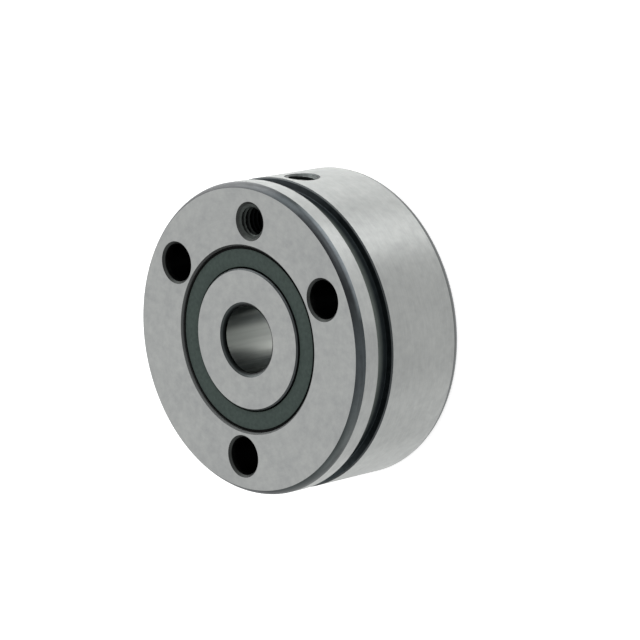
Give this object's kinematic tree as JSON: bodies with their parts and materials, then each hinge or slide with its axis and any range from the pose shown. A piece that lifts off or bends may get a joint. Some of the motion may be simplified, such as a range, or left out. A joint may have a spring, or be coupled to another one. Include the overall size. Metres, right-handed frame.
{
  "type": "angular contact thrust ball bearing",
  "caption": "Double row angular contact thrust ball bearing with a screw-down outer ring, split inner ring, contact seals and lubrication ports.",
  "frame": {"origin": "centre of the rear face", "axes": "+Z along the bearing axis towards the front face; +Y towards the lubrication ports"},
  "size_m": [0.055, 0.055, 0.025],
  "materials": {
    "ring_steel": "ground faces, dark heat treatment scale on the turned edges and in the holes",
    "ball_steel": "polished",
    "cage_plastic": "moulded polyamide",
    "seal_rubber": "matte dark green-grey"
  },
  "bodies": {
    "outer": {"outer_ring": "ring_steel", "seal_front": "seal_rubber", "seal_rear": "seal_rubber"},
    "inner": {"inner_ring_front": "ring_steel", "inner_ring_rear": "ring_steel"},
    "cage_front": {"cage_front": "cage_plastic"},
    "cage_rear": {"cage_rear": "cage_plastic"},
    "ball_front_01": {"ball_front_01": "ball_steel"},
    "ball_front_02": {"ball_front_02": "ball_steel"},
    "ball_front_03": {"ball_front_03": "ball_steel"},
    "ball_front_04": {"ball_front_04": "ball_steel"},
    "ball_front_05": {"ball_front_05": "ball_steel"},
    "ball_front_06": {"ball_front_06": "ball_steel"},
    "ball_front_07": {"ball_front_07": "ball_steel"},
    "ball_front_08": {"ball_front_08": "ball_steel"},
    "ball_front_09": {"ball_front_09": "ball_steel"},
    "ball_front_10": {"ball_front_10": "ball_steel"},
    "ball_front_11": {"ball_front_11": "ball_steel"},
    "ball_front_12": {"ball_front_12": "ball_steel"},
    "ball_rear_01": {"ball_rear_01": "ball_steel"},
    "ball_rear_02": {"ball_rear_02": "ball_steel"},
    "ball_rear_03": {"ball_rear_03": "ball_steel"},
    "ball_rear_04": {"ball_rear_04": "ball_steel"},
    "ball_rear_05": {"ball_rear_05": "ball_steel"},
    "ball_rear_06": {"ball_rear_06": "ball_steel"},
    "ball_rear_07": {"ball_rear_07": "ball_steel"},
    "ball_rear_08": {"ball_rear_08": "ball_steel"},
    "ball_rear_09": {"ball_rear_09": "ball_steel"},
    "ball_rear_10": {"ball_rear_10": "ball_steel"},
    "ball_rear_11": {"ball_rear_11": "ball_steel"},
    "ball_rear_12": {"ball_rear_12": "ball_steel"}
  },
  "joints": [
    {"name": "inner_spin", "type": "hinge", "parent": "outer", "child": "inner", "pos_m": [0, 0, 0.0125], "axis": [0, 0, 1], "continuous": true},
    {"name": "cage_front_spin", "type": "hinge", "parent": "outer", "child": "cage_front", "pos_m": [0, 0, 0.0125], "axis": [0, 0, 1], "continuous": true},
    {"name": "ball_front_01_spin", "type": "hinge", "parent": "cage_front", "child": "ball_front_01", "pos_m": [0.0135, 0, 0.0177], "axis": [-0.866, 0, -0.5], "continuous": true},
    {"name": "ball_front_02_spin", "type": "hinge", "parent": "cage_front", "child": "ball_front_02", "pos_m": [0.01169, 0.00675, 0.0177], "axis": [-0.75, -0.433, -0.5], "continuous": true},
    {"name": "ball_front_03_spin", "type": "hinge", "parent": "cage_front", "child": "ball_front_03", "pos_m": [0.00675, 0.01169, 0.0177], "axis": [-0.433, -0.75, -0.5], "continuous": true},
    {"name": "ball_front_04_spin", "type": "hinge", "parent": "cage_front", "child": "ball_front_04", "pos_m": [0, 0.0135, 0.0177], "axis": [0, -0.866, -0.5], "continuous": true},
    {"name": "ball_front_05_spin", "type": "hinge", "parent": "cage_front", "child": "ball_front_05", "pos_m": [-0.00675, 0.01169, 0.0177], "axis": [0.433, -0.75, -0.5], "continuous": true},
    {"name": "ball_front_06_spin", "type": "hinge", "parent": "cage_front", "child": "ball_front_06", "pos_m": [-0.01169, 0.00675, 0.0177], "axis": [0.75, -0.433, -0.5], "continuous": true},
    {"name": "ball_front_07_spin", "type": "hinge", "parent": "cage_front", "child": "ball_front_07", "pos_m": [-0.0135, 0, 0.0177], "axis": [0.866, 0, -0.5], "continuous": true},
    {"name": "ball_front_08_spin", "type": "hinge", "parent": "cage_front", "child": "ball_front_08", "pos_m": [-0.01169, -0.00675, 0.0177], "axis": [0.75, 0.433, -0.5], "continuous": true},
    {"name": "ball_front_09_spin", "type": "hinge", "parent": "cage_front", "child": "ball_front_09", "pos_m": [-0.00675, -0.01169, 0.0177], "axis": [0.433, 0.75, -0.5], "continuous": true},
    {"name": "ball_front_10_spin", "type": "hinge", "parent": "cage_front", "child": "ball_front_10", "pos_m": [0, -0.0135, 0.0177], "axis": [0, 0.866, -0.5], "continuous": true},
    {"name": "ball_front_11_spin", "type": "hinge", "parent": "cage_front", "child": "ball_front_11", "pos_m": [0.00675, -0.01169, 0.0177], "axis": [-0.433, 0.75, -0.5], "continuous": true},
    {"name": "ball_front_12_spin", "type": "hinge", "parent": "cage_front", "child": "ball_front_12", "pos_m": [0.01169, -0.00675, 0.0177], "axis": [-0.75, 0.433, -0.5], "continuous": true},
    {"name": "cage_rear_spin", "type": "hinge", "parent": "outer", "child": "cage_rear", "pos_m": [0, 0, 0.0125], "axis": [0, 0, 1], "continuous": true},
    {"name": "ball_rear_01_spin", "type": "hinge", "parent": "cage_rear", "child": "ball_rear_01", "pos_m": [0.01304, 0.00349, 0.0073], "axis": [0.8365, 0.2241, -0.5], "continuous": true},
    {"name": "ball_rear_02_spin", "type": "hinge", "parent": "cage_rear", "child": "ball_rear_02", "pos_m": [0.00955, 0.00955, 0.0073], "axis": [0.6124, 0.6124, -0.5], "continuous": true},
    {"name": "ball_rear_03_spin", "type": "hinge", "parent": "cage_rear", "child": "ball_rear_03", "pos_m": [0.00349, 0.01304, 0.0073], "axis": [0.2241, 0.8365, -0.5], "continuous": true},
    {"name": "ball_rear_04_spin", "type": "hinge", "parent": "cage_rear", "child": "ball_rear_04", "pos_m": [-0.00349, 0.01304, 0.0073], "axis": [-0.2241, 0.8365, -0.5], "continuous": true},
    {"name": "ball_rear_05_spin", "type": "hinge", "parent": "cage_rear", "child": "ball_rear_05", "pos_m": [-0.00955, 0.00955, 0.0073], "axis": [-0.6124, 0.6124, -0.5], "continuous": true},
    {"name": "ball_rear_06_spin", "type": "hinge", "parent": "cage_rear", "child": "ball_rear_06", "pos_m": [-0.01304, 0.00349, 0.0073], "axis": [-0.8365, 0.2241, -0.5], "continuous": true},
    {"name": "ball_rear_07_spin", "type": "hinge", "parent": "cage_rear", "child": "ball_rear_07", "pos_m": [-0.01304, -0.00349, 0.0073], "axis": [-0.8365, -0.2241, -0.5], "continuous": true},
    {"name": "ball_rear_08_spin", "type": "hinge", "parent": "cage_rear", "child": "ball_rear_08", "pos_m": [-0.00955, -0.00955, 0.0073], "axis": [-0.6124, -0.6124, -0.5], "continuous": true},
    {"name": "ball_rear_09_spin", "type": "hinge", "parent": "cage_rear", "child": "ball_rear_09", "pos_m": [-0.00349, -0.01304, 0.0073], "axis": [-0.2241, -0.8365, -0.5], "continuous": true},
    {"name": "ball_rear_10_spin", "type": "hinge", "parent": "cage_rear", "child": "ball_rear_10", "pos_m": [0.00349, -0.01304, 0.0073], "axis": [0.2241, -0.8365, -0.5], "continuous": true},
    {"name": "ball_rear_11_spin", "type": "hinge", "parent": "cage_rear", "child": "ball_rear_11", "pos_m": [0.00955, -0.00955, 0.0073], "axis": [0.6124, -0.6124, -0.5], "continuous": true},
    {"name": "ball_rear_12_spin", "type": "hinge", "parent": "cage_rear", "child": "ball_rear_12", "pos_m": [0.01304, -0.00349, 0.0073], "axis": [0.8365, -0.2241, -0.5], "continuous": true}
  ],
  "couplings": [
    {"joint": "cage_front_spin", "follows": "inner_spin", "ratio": 0.4412},
    {"joint": "ball_front_01_spin", "follows": "inner_spin", "ratio": 2.0966},
    {"joint": "ball_front_02_spin", "follows": "inner_spin", "ratio": 2.0966},
    {"joint": "ball_front_03_spin", "follows": "inner_spin", "ratio": 2.0966},
    {"joint": "ball_front_04_spin", "follows": "inner_spin", "ratio": 2.0966},
    {"joint": "ball_front_05_spin", "follows": "inner_spin", "ratio": 2.0966},
    {"joint": "ball_front_06_spin", "follows": "inner_spin", "ratio": 2.0966},
    {"joint": "ball_front_07_spin", "follows": "inner_spin", "ratio": 2.0966},
    {"joint": "ball_front_08_spin", "follows": "inner_spin", "ratio": 2.0966},
    {"joint": "ball_front_09_spin", "follows": "inner_spin", "ratio": 2.0966},
    {"joint": "ball_front_10_spin", "follows": "inner_spin", "ratio": 2.0966},
    {"joint": "ball_front_11_spin", "follows": "inner_spin", "ratio": 2.0966},
    {"joint": "ball_front_12_spin", "follows": "inner_spin", "ratio": 2.0966},
    {"joint": "cage_rear_spin", "follows": "inner_spin", "ratio": 0.4412},
    {"joint": "ball_rear_01_spin", "follows": "inner_spin", "ratio": 2.0966},
    {"joint": "ball_rear_02_spin", "follows": "inner_spin", "ratio": 2.0966},
    {"joint": "ball_rear_03_spin", "follows": "inner_spin", "ratio": 2.0966},
    {"joint": "ball_rear_04_spin", "follows": "inner_spin", "ratio": 2.0966},
    {"joint": "ball_rear_05_spin", "follows": "inner_spin", "ratio": 2.0966},
    {"joint": "ball_rear_06_spin", "follows": "inner_spin", "ratio": 2.0966},
    {"joint": "ball_rear_07_spin", "follows": "inner_spin", "ratio": 2.0966},
    {"joint": "ball_rear_08_spin", "follows": "inner_spin", "ratio": 2.0966},
    {"joint": "ball_rear_09_spin", "follows": "inner_spin", "ratio": 2.0966},
    {"joint": "ball_rear_10_spin", "follows": "inner_spin", "ratio": 2.0966},
    {"joint": "ball_rear_11_spin", "follows": "inner_spin", "ratio": 2.0966},
    {"joint": "ball_rear_12_spin", "follows": "inner_spin", "ratio": 2.0966}
  ]
}
